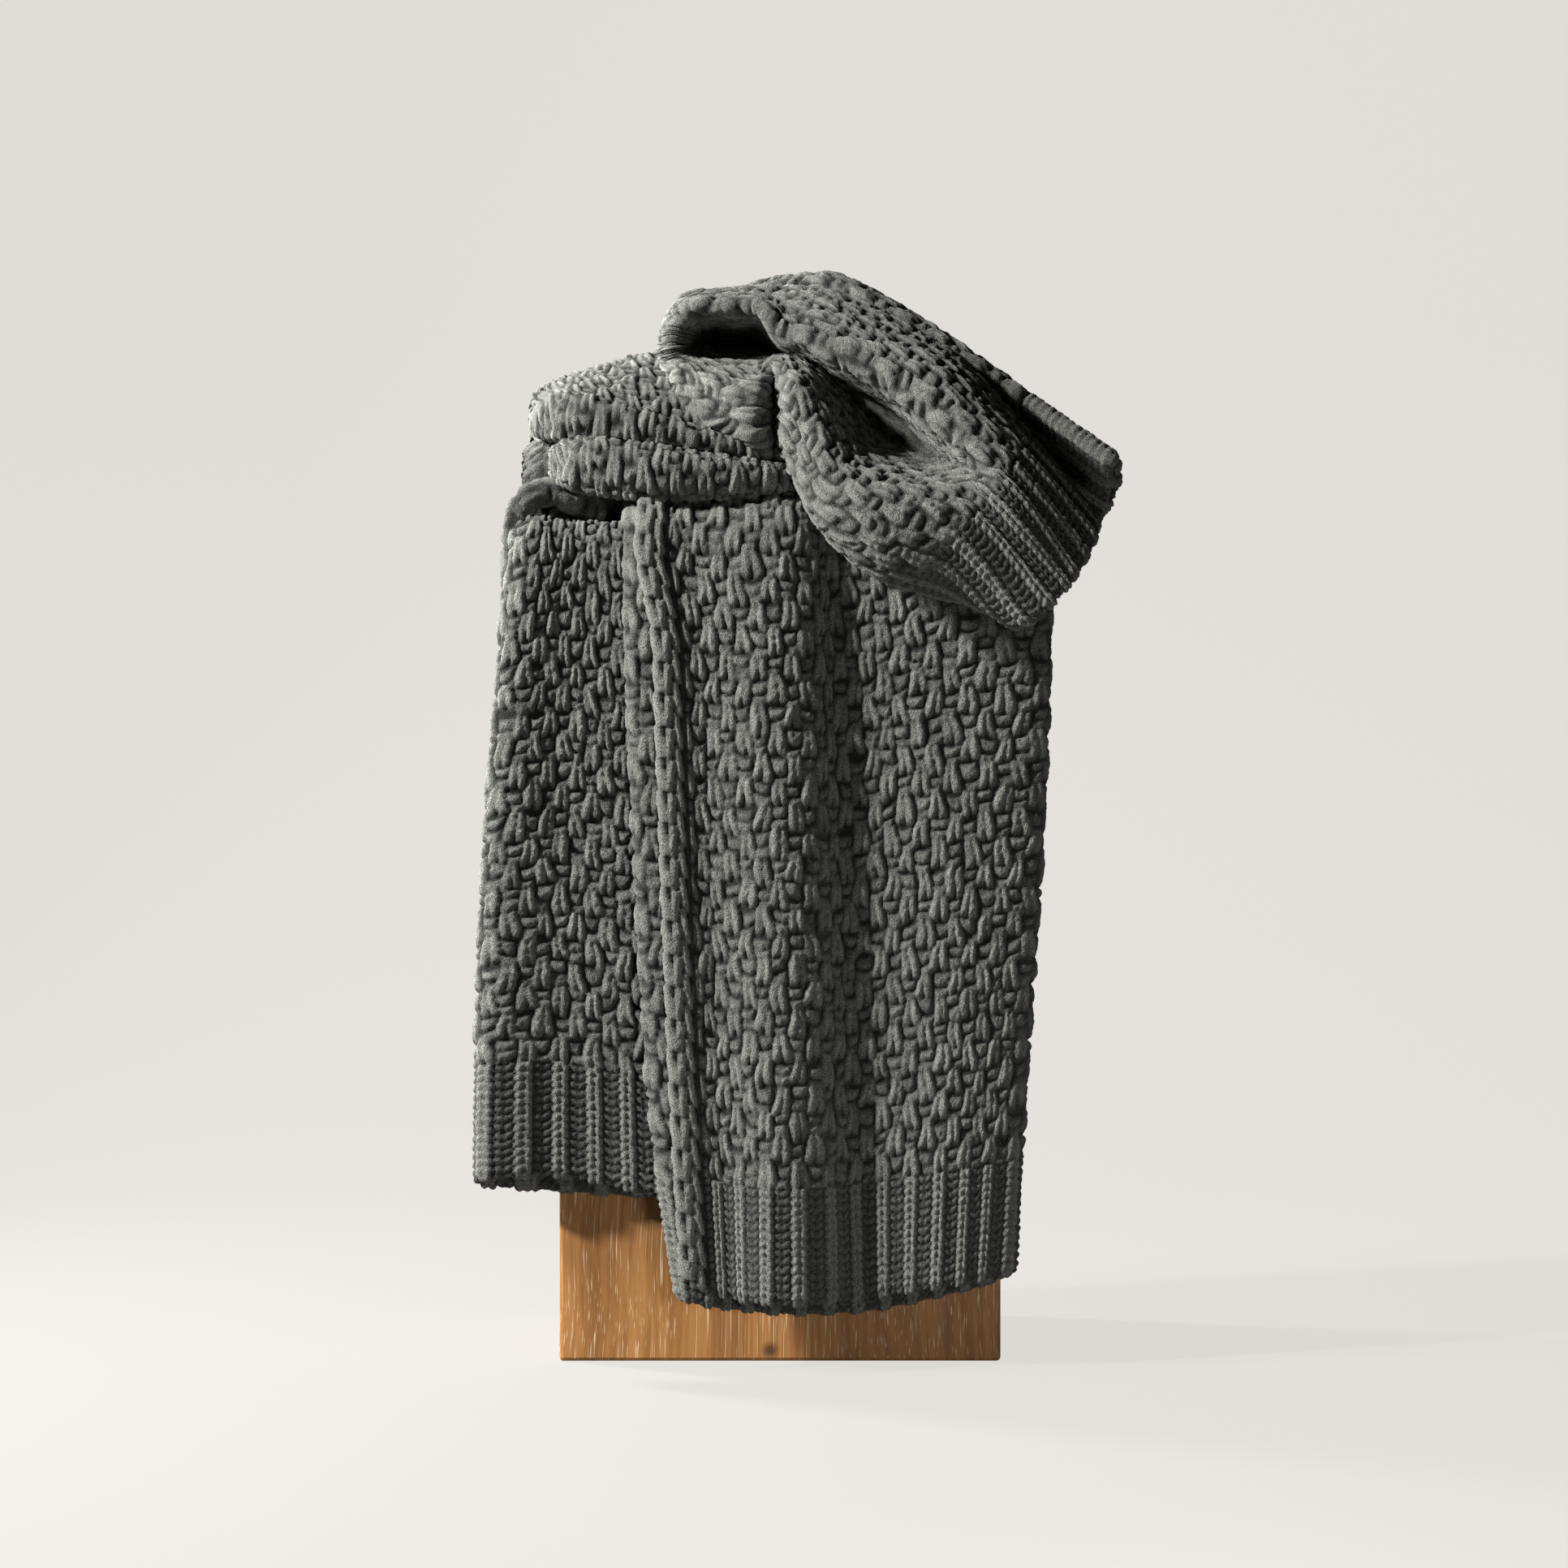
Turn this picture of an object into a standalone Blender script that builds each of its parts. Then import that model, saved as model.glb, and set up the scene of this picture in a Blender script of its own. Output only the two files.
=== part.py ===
# Chunky knit blanket draped over a wooden plinth.
# Metres, +Z up, front towards -Y, origin at the centre of the plinth's underside.
#
# The blanket is one knitted piece. It is folded back and forth into a long bundle of
# layers, hangs in front of the plinth, bends over its top front edge, and is bunched on
# the top into two rolls, a knobbed ridge and one open end that flops over to the right.
import math

import bmesh
import bpy
import numpy as np

MM = 0.001

# Plinth
PLINTH_WIDTH = 490 * MM
PLINTH_DEPTH = 360 * MM
PLINTH_HEIGHT = 900 * MM
PLINTH_EDGE = 4 * MM

# Cloth
CLOTH_THICK = 12 * MM
REST_GAP = 0.3 * MM
WELD = 0.02 * MM
EDGE_GAP = 2.5 * MM
RIB_PITCH = 33 * MM
RIB_RELIEF = 2.4 * MM
RIB_BAND = 118 * MM

# The tables below place folds on a front view, seen level from VIEW_DISTANCE in front of the
# plinth's face. One unit is 0.9 mm on that face. x runs right and y down, the eye looks at
# (966, 966), the plinth stands at y 1678, and "out" is mm in front of its face. ON_TOP in
# place of y is cloth that lies on the plinth's top.
VIEW_SCALE = 0.9 * MM
VIEW_DISTANCE = 4110 * MM
VIEW_EYE = 966
VIEW_FLOOR = 1678
EYE_X = 4.5 * MM
EYE_Z = (VIEW_FLOOR - VIEW_EYE) * VIEW_SCALE
FACE_Y = -PLINTH_DEPTH / 2
ON_TOP = None
SETTLED = 4 * MM

# Hanging bundle: how far its layers run back over the top, and its rows of points
BEND_INSET = 12 * MM
RUN_BACK = 70 * MM
PANEL_ROWS = 8
BAND_STEPS = (0, 0.5, 0.95)
BEND_ROWS = 3

# Bunched cloth on top
VOXEL = 6 * MM
BUNCH_FACES = 4200

# A row for each turn of the folded section, from the front selvage round to the back one.
# x is given at five heights (y 640, 760, 1050, 1350 and 1600), out at the top and the foot.
FOLD_HEIGHTS = (640, 760, 1050, 1350, 1600)
FOLDS = (
    # name            x_640  x_760 x_1050 x_1350 x_1600  top  foot  hem_y
    ("front_selvage", (778, 810, 822, 834, 849), 70, 90, 1576),
    ("front_left",    (840, 862, 872, 884, 896), 66, 86, 1592),
    ("front_crest",   (925, 938, 945, 948, 950), 52, 92, 1601),
    ("front_step",    (985, 996, 1004, 1008, 1010), 52, 84, 1600),
    ("front_valley",  (1018, 1034, 1050, 1058, 1062), 36, 66, 1594),
    ("front_rise",    (1140, 1150, 1160, 1162, 1155), 42, 78, 1580),
    ("right_front",   (1262, 1266, 1256, 1238, 1222), 42, 62, 1567),
    ("right_fold",    (1288, 1288, 1277, 1257, 1244), 28, 46, 1562),
    ("right_back",    (1262, 1262, 1250, 1232, 1196), 15, 30, 1580),
    ("back_middle",   (1080, 1090, 1095, 1090, 1080), 13, 17, 1606),
    ("back_left",     (950, 960, 968, 974, 976), 17, 25, 1612),
    ("behind_ridge",  (850, 868, 878, 888, 900), 51, 68, 1606),
    ("strip_front",   (800, 796, 804, 826, 860), 56, 74, 1600),
    ("strip_fold",    (775, 776, 788, 806, 842), 49, 65, 1590),
    ("strip_back",    (796, 792, 806, 826, 862), 42, 56, 1575),
    ("tuck_front",    (820, 840, 852, 866, 884), 41, 52, 1535),
    ("tuck_fold",     (832, 852, 864, 878, 896), 34, 43, 1510),
    ("tuck_back",     (820, 838, 850, 862, 872), 27, 34, 1490),
    ("left_right",    (776, 780, 790, 796, 805), 26, 33, 1466),
    ("left_middle",   (705, 700, 695, 695, 695), 28, 38, 1443),
    ("left_front",    (660, 645, 625, 612, 612), 28, 40, 1446),
    ("left_fold",     (642, 624, 602, 592, 592), 20, 28, 1450),
    ("left_back",     (664, 648, 628, 616, 616), 12, 15, 1456),
    ("back_selvage",  (780, 790, 800, 805, 812), 12, 15, 1468),
)

FOLD_NAMES = [row[0] for row in FOLDS]
TIGHT_FOLDS = ("right_fold", "strip_fold", "tuck_fold", "left_fold")
FOLD_STEP = 0.5
FOLD_REACH = 0.8

# Lower roll on the top: a fold that faces forward, open at the back
ROLL_A = (
    # x    low_y high_y front
    (670, 588, 548, -10),
    (682, 602, 537, 22),
    (715, 610, 533, 48),
    (800, 618, 545, 64),
    (880, 618, 558, 64),
    (940, 610, 569, 54),
    (985, 602, 575, 30),
)

# Upper roll, whose top layer slopes up to a ridge and falls again behind it
ROLL_B = (
    # x    low_y crest_y front ridge_y back
    (648, 528, 500, -60, 488, -110),
    (656, 542, 484, -12, 474, -170),
    (697, 541, 482, 30, 464, -235),
    (800, 550, 508, 46, 438, -250),
    (900, 567, 538, 42, 432, -250),
    (950, 574, 548, 30, 436, -250),
    (1010, 578, 552, 0, 446, -250),
)
ROLL_TAIL = -80
RIDGE_SHARE = 0.55
NEAR_TOP_Y = 670

# The far end of the blanket: a ridge over a hollow, then a lobe that ends in an open sleeve.
# A row for each section, from the knob on the left to the hem on the right. Each place is
# (x, y, out), and the columns go once round the section: inner, crest, slope, overhang, hollow,
# then lip, front, lower_edge, under, inside, then band, back, foot.
END_SECTIONS = (
    (  # left end of the knob
        (832, 412, -80), (828, 404, -70), (826, 408, -50), (828, 414, -45), (836, 420, -80),
        (830, 430, -45), (828, 438, -40), (832, 448, -50), (840, 442, -90), (840, 424, -120),
        (836, 408, -120), (838, 424, -150), (842, 540, -160),
    ),
    (
        (860, 388, -100), (850, 376, -80), (850, 386, -40), (860, 398, -32), (882, 420, -120),
        (852, 442, -28), (850, 456, -12), (852, 480, -20), (860, 470, -90), (864, 400, -160),
        (862, 372, -140), (862, 392, -200), (860, 560, -235),
    ),
    (
        (915, 388, -105), (908, 368, -85), (910, 384, -35), (916, 403, -22), (928, 434, -125),
        (915, 458, -12), (920, 484, 8), (925, 512, 0), (925, 500, -90), (918, 400, -160),
        (915, 363, -140), (915, 390, -210), (915, 600, -250),
    ),
    (  # neck, where ridge and lobe are pinched
        (962, 384, -100), (955, 362, -80), (962, 392, -15), (964, 420, 8), (978, 446, -50),
        (964, 458, 20), (966, 484, 28), (974, 515, 15), (975, 515, -80), (968, 400, -160),
        (965, 356, -140), (965, 385, -215), (965, ON_TOP, -255),
    ),
    (
        (1030, 388, -90), (1025, 366, -60), (1025, 408, 15), (1018, 450, 42), (1036, 484, -20),
        (1006, 494, 64), (992, 530, 90), (984, 566, 76), (990, 570, 0), (1035, 450, -120),
        (1040, 352, -120), (1042, 388, -205), (1035, ON_TOP, -252),
    ),
    (
        (1105, 412, -70), (1098, 396, -40), (1090, 438, 45), (1068, 492, 68), (1080, 532, 5),
        (1048, 560, 118), (1024, 600, 142), (1014, 640, 116), (1034, 638, 40), (1100, 520, -70),
        (1116, 380, -95), (1120, 424, -190), (1100, ON_TOP, -245),
    ),
    (
        (1184, 452, -50), (1174, 438, -10), (1160, 474, 78), (1118, 526, 108), (1118, 552, 84),
        (1112, 584, 146), (1092, 640, 166), (1082, 696, 128), (1106, 694, 50), (1185, 580, -30),
        (1200, 428, -60), (1206, 476, -140), (1180, ON_TOP, -190),
    ),
    (  # start of the ribbed band
        (1270, 534, 5), (1262, 522, 45), (1252, 546, 95), (1234, 578, 132), (1220, 602, 150),
        (1202, 630, 162), (1183, 670, 166), (1174, 718, 128), (1196, 722, 66), (1275, 640, 20),
        (1286, 489, -12), (1296, 540, -60), (1270, 668, -80),
    ),
    (  # hem of the open sleeve
        (1344, 636, 44), (1347, 645, 74), (1343, 663, 108), (1331, 688, 134), (1315, 712, 149),
        (1296, 735, 155), (1274, 757, 147), (1251, 766, 118), (1272, 748, 74), (1346, 650, 44),
        (1370, 568, 18), (1368, 602, -32), (1322, 690, -24),
    ),
)

# Loop of cloth that stands up behind the left panel
LOOP = (
    # x    y    further back: x   y
    (712, 650, 720, 650), (674, 634, 690, 640), (664, 606, 676, 622), (642, 596, 650, 608),
    (625, 630, 628, 634), (622, 690, 622, 690), (630, 770, 636, 740),
)
LOOP_FRONT = -12
LOOP_BACK = -190

# The rest of the blanket, wadded up inside the bunch where no one can see its folds
WAD = (
    # x    top_y front back
    (690, 560, -40, -150),
    (720, 505, -28, -190),
    (800, 478, -22, -228),
    (950, 455, -20, -236),
    (1060, 450, -20, -234),
    (1160, 500, -6, -190),
    (1215, 560, -2, -120),
)
WAD_SIDES = 12

SAMPLES_ALONG = 4
SAMPLES_ACROSS = 4
ARC_STEPS = 7

WOOD_COLOUR = (0.36, 0.18, 0.07, 1)
WOOL_COLOUR = (0.085, 0.09, 0.083, 1)


def place(x, y, out):
    """World position of a place on the front view."""
    scale = VIEW_SCALE * (1 - out * MM / VIEW_DISTANCE)
    z = PLINTH_HEIGHT + SETTLED if y is ON_TOP else EYE_Z + (VIEW_EYE - y) * scale
    return np.array([EYE_X + (x - VIEW_EYE) * scale, FACE_Y - out * MM, z])


def curve_through(points, at):
    """Catmull-Rom curve through the points along their first axis, read at the numbers in at."""
    points = np.asarray(points, float)
    last = len(points) - 1
    padded = np.concatenate([
        [2 * points[0] - points[1]], points, [2 * points[-1] - points[-2]],
    ])
    start = np.clip(np.floor(at).astype(int), 0, last - 1)
    t = (np.asarray(at) - start).reshape(-1, *[1] * (points.ndim - 1))
    a, b, c, d = (padded[start + k] for k in range(4))
    return 0.5 * (
        2 * b + (c - a) * t + (2 * a - 5 * b + 4 * c - d) * t**2 + (3 * b - a - 3 * c + d) * t**3
    )


def smooth_net(net, along=SAMPLES_ALONG, across=SAMPLES_ACROSS):
    """A net of control points made into a finer smooth grid."""
    net = np.asarray(net, float)
    rows = curve_through(net, np.linspace(0, len(net) - 1, (len(net) - 1) * along + 1))
    columns = rows.swapaxes(0, 1)
    count = (len(columns) - 1) * across + 1
    return curve_through(columns, np.linspace(0, len(columns) - 1, count)).swapaxes(0, 1)


def grid_normals(grid):
    """Unit normal at each point of a grid of rows and columns."""
    normals = np.cross(np.gradient(grid, axis=1), np.gradient(grid, axis=0))
    return normals / np.linalg.norm(normals, axis=2, keepdims=True)


def thick_sheet(bm, grid, relief=0.0):
    """Adds the closed solid of a sheet of cloth whose middle is the grid."""
    rows, columns, _ = grid.shape
    normals = grid_normals(grid)
    half = CLOTH_THICK / 2
    sides = []
    for offset in (half + relief, -half - relief):
        shell = grid + normals * np.broadcast_to(offset, (rows, columns))[:, :, None]
        sides.append([[bm.verts.new(point) for point in row] for row in shell])
    front, back = sides
    for i in range(rows - 1):
        for j in range(columns - 1):
            bm.faces.new((front[i][j], front[i][j + 1], front[i + 1][j + 1], front[i + 1][j]))
            bm.faces.new((back[i][j], back[i + 1][j], back[i + 1][j + 1], back[i][j + 1]))
    border = [(0, j) for j in range(columns - 1)]
    border += [(i, columns - 1) for i in range(rows - 1)]
    border += [(rows - 1, j) for j in range(columns - 1, 0, -1)]
    border += [(i, 0) for i in range(rows - 1, 0, -1)]
    for (i, j), (k, m) in zip(border, border[1:] + border[:1]):
        bm.faces.new((front[i][j], back[i][j], back[k][m], front[k][m]))


def add_object(name, bm, colour, roughness):
    bmesh.ops.recalc_face_normals(bm, faces=bm.faces)
    mesh = bpy.data.meshes.new(name)
    bm.to_mesh(mesh)
    bm.free()
    obj = bpy.data.objects.new(name, mesh)
    bpy.context.scene.collection.objects.link(obj)
    material = bpy.data.materials.new(name)
    material.use_nodes = True
    surface = material.node_tree.nodes["Principled BSDF"]
    surface.inputs["Base Color"].default_value = colour
    surface.inputs["Roughness"].default_value = roughness
    mesh.materials.append(material)
    return obj


def guide(obj):
    """Keeps a helper out of the model."""
    obj.hide_render = True
    obj.display_type = "WIRE"
    return obj


def boolean(obj, other, operation):
    modifier = obj.modifiers.new(operation.lower(), "BOOLEAN")
    modifier.operation = operation
    modifier.object = other
    modifier.solver = "EXACT"
    modifier.use_self = operation == "UNION"


def box(bm, low, high):
    corners = bmesh.ops.create_cube(bm, size=1)["verts"]
    for corner in corners:
        corner.co = [low[k] if corner.co[k] < 0 else high[k] for k in range(3)]


def plinth():
    bm = bmesh.new()
    half_width, half_depth = PLINTH_WIDTH / 2, PLINTH_DEPTH / 2
    box(bm, (-half_width, -half_depth, 0), (half_width, half_depth, PLINTH_HEIGHT))
    bmesh.ops.bevel(
        bm, geom=bm.edges[:], offset=PLINTH_EDGE, segments=2, affect="EDGES", profile=0.5
    )
    return add_object("block", bm, WOOD_COLOUR, 0.6)


def fold_net():
    """The folded section at each of the five heights: x, out and hem, one column for a turn."""
    heights = np.array(FOLD_HEIGHTS)
    x = np.array([row[1] for row in FOLDS], float).T
    top, foot, hem = np.array([row[2:] for row in FOLDS], float).T
    fall = ((heights - heights[0]) / (heights[-1] - heights[0])) ** 0.5
    out = top + (foot - top) * fall[:, None]
    return heights, x, out, hem


def hanging_bundle():
    """The back-and-forth layers, from their hems up the front and over the top edge."""
    heights, x, out, hem = fold_net()
    turns = np.arange(len(FOLDS))
    fine = np.linspace(0, turns[-1], 20 * len(turns))
    middle = curve_through(np.stack([x[2] * 0.9, out[2]], axis=1), fine)
    run = np.concatenate([[0], np.cumsum(np.linalg.norm(np.diff(middle, axis=0), axis=1))])
    columns = 2 * int(round(run[-1] * MM / RIB_PITCH))
    at = np.interp(np.linspace(0, run[-1], columns + 1), run, fine)
    ridge = np.where(np.arange(columns + 1) % 2, RIB_RELIEF, -RIB_RELIEF)
    turn = np.array([FOLD_NAMES.index(name) for name in TIGHT_FOLDS])
    clear = np.abs(at[:, None] - turn).min(axis=1) > FOLD_REACH
    extra = np.concatenate([turn - FOLD_STEP, turn, turn + FOLD_STEP])
    order = np.argsort(np.concatenate([at[clear], extra]))
    ridge = np.concatenate([ridge[clear], 0 * extra])[order]
    at = np.concatenate([at[clear], extra])[order]
    x = curve_through(x.T, at).T
    out = curve_through(out.T, at).T
    hem_y = curve_through(hem[:, None], at)[:, 0]
    top_z = PLINTH_HEIGHT - BEND_INSET
    rows, reliefs = [], []
    steps = [(share, True) for share in BAND_STEPS]
    steps += [(share, False) for share in np.linspace(0, 1, PANEL_ROWS + 1)]
    for share, ribbed in steps:
        row = []
        for j in range(len(at)):
            hem_z = place(0, hem_y[j], out[-1, j])[2]
            z = hem_z + RIB_BAND * share
            if not ribbed:
                z = hem_z + RIB_BAND + (top_z - hem_z - RIB_BAND) * share
            y = VIEW_FLOOR - z / VIEW_SCALE
            level = [np.interp(y, heights, np.arange(len(heights)))]
            point = place(curve_through(x[:, j], level)[0], y, curve_through(out[:, j], level)[0])
            row.append((point[0], point[1], z))
        rows.append(row)
        reliefs.append(ridge * ribbed)
    top = np.array(rows[-1])
    radius = FACE_Y + BEND_INSET - top[:, 1]
    for angle in np.linspace(0, math.pi / 2, BEND_ROWS + 1)[1:]:
        rows.append(np.stack([
            top[:, 0],
            FACE_Y + BEND_INSET - radius * math.cos(angle),
            top_z + radius * math.sin(angle),
        ], axis=1))
        reliefs.append(ridge * 0)
    rows.append(rows[-1] + np.array([0, RUN_BACK, 0]))
    reliefs.append(ridge * 0)
    bm = bmesh.new()
    thick_sheet(bm, np.array(rows), np.array(reliefs))
    return add_object("throw", bm, WOOL_COLOUR, 0.95)


def forward_fold(low_y, high_y, front, tail):
    """Side profile of a fold that faces forward, as (out, y) pairs, from below to above."""
    half = CLOTH_THICK / 2 / VIEW_SCALE
    radius = (low_y - high_y) / 2 - half
    centre = (high_y + low_y) / 2
    depth = radius * VIEW_SCALE / MM
    start = front - depth - half
    profile = [(tail, centre + radius)]
    for angle in np.linspace(-math.pi / 2, math.pi / 2, ARC_STEPS):
        profile.append((start + depth * math.cos(angle), centre - radius * math.sin(angle)))
    return profile


def wad(bm):
    """Adds the filled middle of the bunch."""
    rings = []
    for x, top_y, front, back in WAD:
        ring = []
        for k in range(WAD_SIDES):
            angle = 2 * math.pi * k / WAD_SIDES
            out = (front + back) / 2 + (front - back) / 2 * math.cos(angle)
            point = place(x, (NEAR_TOP_Y + top_y) / 2, out)
            low_z, high_z = place(x, ON_TOP, out)[2], place(x, top_y, out)[2]
            point[2] = (low_z + high_z) / 2 + (high_z - low_z) / 2 * math.sin(angle)
            ring.append(bm.verts.new(point))
        rings.append(ring)
    for ring, following in zip(rings, rings[1:]):
        for k in range(WAD_SIDES):
            n = (k + 1) % WAD_SIDES
            bm.faces.new((ring[k], ring[n], following[n], following[k]))
    bm.faces.new(rings[0][::-1])
    bm.faces.new(rings[-1])


def bunch():
    """The rolls, the ridge, the sleeve and the loop on top, grown together into one cloth."""
    bm = bmesh.new()
    lower = []
    for x, low_y, high_y, front in ROLL_A:
        profile = forward_fold(low_y, high_y, front, ROLL_TAIL)
        profile.append((ROLL_TAIL, profile[-1][1]))
        lower.append([place(x, y, out) for out, y in profile])
    thick_sheet(bm, smooth_net(lower, across=1))

    upper = []
    for x, low_y, crest_y, front, ridge_y, back in ROLL_B:
        profile = forward_fold(low_y, crest_y, front, max(ROLL_TAIL, back + 30))
        crest_out, crest_y = profile[-1]
        ridge_out = back * RIDGE_SHARE
        profile.append((crest_out * 0.6 + ridge_out * 0.4, crest_y * 0.45 + ridge_y * 0.55))
        profile.append((ridge_out, ridge_y))
        profile.append((back * 0.6 + ridge_out * 0.4, ridge_y + 32))
        profile.append((back, (ridge_y + NEAR_TOP_Y) / 2))
        profile.append((back, ON_TOP))
        upper.append([place(x, y, out) for out, y in profile])
    thick_sheet(bm, smooth_net(upper, across=2))

    thick_sheet(bm, smooth_net([[place(*p) for p in row] for row in END_SECTIONS]))

    loop = []
    for share in np.linspace(0, 1, 4):
        out = LOOP_FRONT + (LOOP_BACK - LOOP_FRONT) * share
        mix = np.array([(x + (u - x) * share, y + (v - y) * share) for x, y, u, v in LOOP])
        loop.append([place(x, y, out) for x, y in mix])
    thick_sheet(bm, smooth_net(loop, along=2))
    wad(bm)
    obj = guide(add_object("bunched_cloth", bm, WOOL_COLOUR, 0.95))
    grow = obj.modifiers.new("grow together", "REMESH")
    grow.mode = "VOXEL"
    grow.voxel_size = VOXEL
    bpy.context.view_layer.update()
    grown = obj.evaluated_get(bpy.context.evaluated_depsgraph_get())
    thin = obj.modifiers.new("fewer faces", "DECIMATE")
    thin.ratio = BUNCH_FACES / (2 * len(grown.data.polygons))
    return obj


def keep_outer_skin(obj):
    """Applies the modifiers and closes the pockets sealed between layers, which no one can see."""
    bpy.context.view_layer.update()
    graph = bpy.context.evaluated_depsgraph_get()
    mesh = bpy.data.meshes.new_from_object(obj.evaluated_get(graph), depsgraph=graph)
    obj.modifiers.clear()
    obj.data = mesh
    bm = bmesh.new()
    bm.from_mesh(mesh)
    bmesh.ops.triangulate(bm, faces=bm.faces)
    left = set(bm.verts)
    skins = []
    while left:
        edge_of_skin = [left.pop()]
        skin = set(edge_of_skin)
        while edge_of_skin:
            for edge in edge_of_skin.pop().link_edges:
                for vert in edge.verts:
                    if vert in left:
                        left.discard(vert)
                        skin.add(vert)
                        edge_of_skin.append(vert)
        skins.append(skin)
    outer = max(skins, key=len)
    inner = [vert for vert in bm.verts if vert not in outer]
    bmesh.ops.delete(bm, geom=inner, context="VERTS")
    bmesh.ops.dissolve_degenerate(bm, edges=bm.edges, dist=WELD)
    bm.to_mesh(mesh)
    bm.free()


def clearance():
    """The room that the cloth keeps free round the plinth."""
    bm = bmesh.new()
    half_width, half_depth = PLINTH_WIDTH / 2 + EDGE_GAP, PLINTH_DEPTH / 2 + EDGE_GAP
    box(bm, (-half_width, -half_depth, 0.1), (half_width, half_depth, PLINTH_HEIGHT + REST_GAP))
    return guide(add_object("plinth_clearance", bm, WOOD_COLOUR, 0.6))


for old in list(bpy.data.objects):
    bpy.data.objects.remove(old, do_unlink=True)
plinth()
throw = hanging_bundle()
boolean(throw, bunch(), "UNION")
boolean(throw, clearance(), "DIFFERENCE")
keep_outer_skin(throw)
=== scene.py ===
# %% [markdown]
# # A chunky knit blanket over a wooden plinth
#
# The blanket is one knitted piece, folded into a long bundle of layers that hangs down the
# front of a tall plinth and is bunched up on its top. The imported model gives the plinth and
# the place of every fold. This file gives the cloth its stitches, the yarn its fuzz and the
# wood its grain, and then lights it like a studio picture.

import math
import time

import bmesh
import bpy
import numpy as np
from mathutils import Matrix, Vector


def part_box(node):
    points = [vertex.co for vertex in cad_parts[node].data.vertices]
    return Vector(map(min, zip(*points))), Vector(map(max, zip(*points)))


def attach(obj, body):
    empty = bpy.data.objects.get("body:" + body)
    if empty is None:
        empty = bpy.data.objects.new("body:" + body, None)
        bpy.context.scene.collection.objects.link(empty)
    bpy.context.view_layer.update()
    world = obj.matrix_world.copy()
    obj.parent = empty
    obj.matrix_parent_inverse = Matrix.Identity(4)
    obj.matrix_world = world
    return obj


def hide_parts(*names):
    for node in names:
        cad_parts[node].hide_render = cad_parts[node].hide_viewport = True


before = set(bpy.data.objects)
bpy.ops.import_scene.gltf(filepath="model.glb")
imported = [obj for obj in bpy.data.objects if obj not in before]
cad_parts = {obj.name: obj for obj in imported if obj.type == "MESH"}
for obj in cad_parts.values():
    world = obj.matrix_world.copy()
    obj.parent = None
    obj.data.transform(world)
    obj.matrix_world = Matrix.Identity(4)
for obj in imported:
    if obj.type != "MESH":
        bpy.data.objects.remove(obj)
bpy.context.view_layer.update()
started = time.time()
MM = 0.001
block_low, block_high = (np.array(corner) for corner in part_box("block"))
print("plinth", np.round(block_high - block_low, 3), "m")

# %% [markdown]
# ## How a place is written down
#
# The folds are read off a straight front view, so the tables below use its units: x to the
# right, y down, 0.9 mm a unit on the plinth's face, and "out" in mm in front of that face. A
# place that lies further back looks smaller from the same eye, and `place` undoes that.

# %% Places on the front view
VIEW_SCALE = 0.9 * MM
VIEW_DISTANCE = 4110 * MM
VIEW_EYE = 966
VIEW_FLOOR = 1678
EYE_X = 4.5 * MM
EYE_Z = (VIEW_FLOOR - VIEW_EYE) * VIEW_SCALE
FACE_Y = block_low[1]
TOP_Z = block_high[2]
ON_TOP = None
SETTLED = 4 * MM


def place(x, y, out):
    """World position of a place on the front view."""
    scale = VIEW_SCALE * (1 - out * MM / VIEW_DISTANCE)
    z = TOP_Z + SETTLED if y is ON_TOP else EYE_Z + (VIEW_EYE - y) * scale
    return np.array([EYE_X + (x - VIEW_EYE) * scale, FACE_Y - out * MM, z])


# %% [markdown]
# ## Smooth surfaces from a few points
#
# Cloth bends in smooth curves. A net of control points with a Catmull-Rom curve through each
# row and column passes through every point, so a fold can be placed and stays there.
# A subdivision surface would pull away from its points and a simulation would not repeat the
# folds of this picture.

# %% Curves through points
def curve_through(points, at):
    """Catmull-Rom curve through the points along their first axis, read at the numbers in at."""
    points = np.asarray(points, float)
    last = len(points) - 1
    padded = np.concatenate([
        [2 * points[0] - points[1]], points, [2 * points[-1] - points[-2]],
    ])
    start = np.clip(np.floor(at).astype(int), 0, last - 1)
    t = (np.asarray(at) - start).reshape(-1, *[1] * (points.ndim - 1))
    a, b, c, d = (padded[start + k] for k in range(4))
    return 0.5 * (
        2 * b + (c - a) * t + (2 * a - 5 * b + 4 * c - d) * t**2 + (3 * b - a - 3 * c + d) * t**3
    )


def surface(net, rows, columns):
    """Points of the net's surface at every pair of row and column numbers."""
    along = curve_through(net, rows).swapaxes(0, 1)
    return curve_through(along, columns).swapaxes(0, 1)


def arc(points, axis):
    """Distance along the surface from its first row or column, at each point."""
    steps = np.linalg.norm(np.diff(points, axis=axis), axis=2)
    total = np.cumsum(steps, axis=axis)
    pad = [(0, 0), (0, 0)]
    pad[axis] = (1, 0)
    return np.pad(total, pad)


def even(net, axis, start, stop, step):
    """Row or column numbers from start to stop that lie about one step apart on the cloth."""
    fine = np.linspace(start, stop, 400)
    other = np.linspace(0, net.shape[1 - axis] - 1, 25)
    points = surface(net, fine, other) if axis == 0 else surface(net, other, fine)
    run = arc(points, axis).mean(axis=1 - axis)
    count = max(2, int(run[-1] / step))
    return np.interp(np.linspace(0, run[-1], count + 1), run, fine)


# %% [markdown]
# ## The stitch
#
# The cloth is double moss stitch: two knit stitches beside two purl stitches for three rows,
# then the other way round. Each pair of knit stitches stands up as two plump strands that
# splay at the foot, and each pair of purl stitches lies low as cross bars with a dark gap
# under them. The ends are two by two rib. A picture of a knit would smear over these folds,
# so the height of the yarn is worked out from the stitch number at every point of the mesh.

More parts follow.
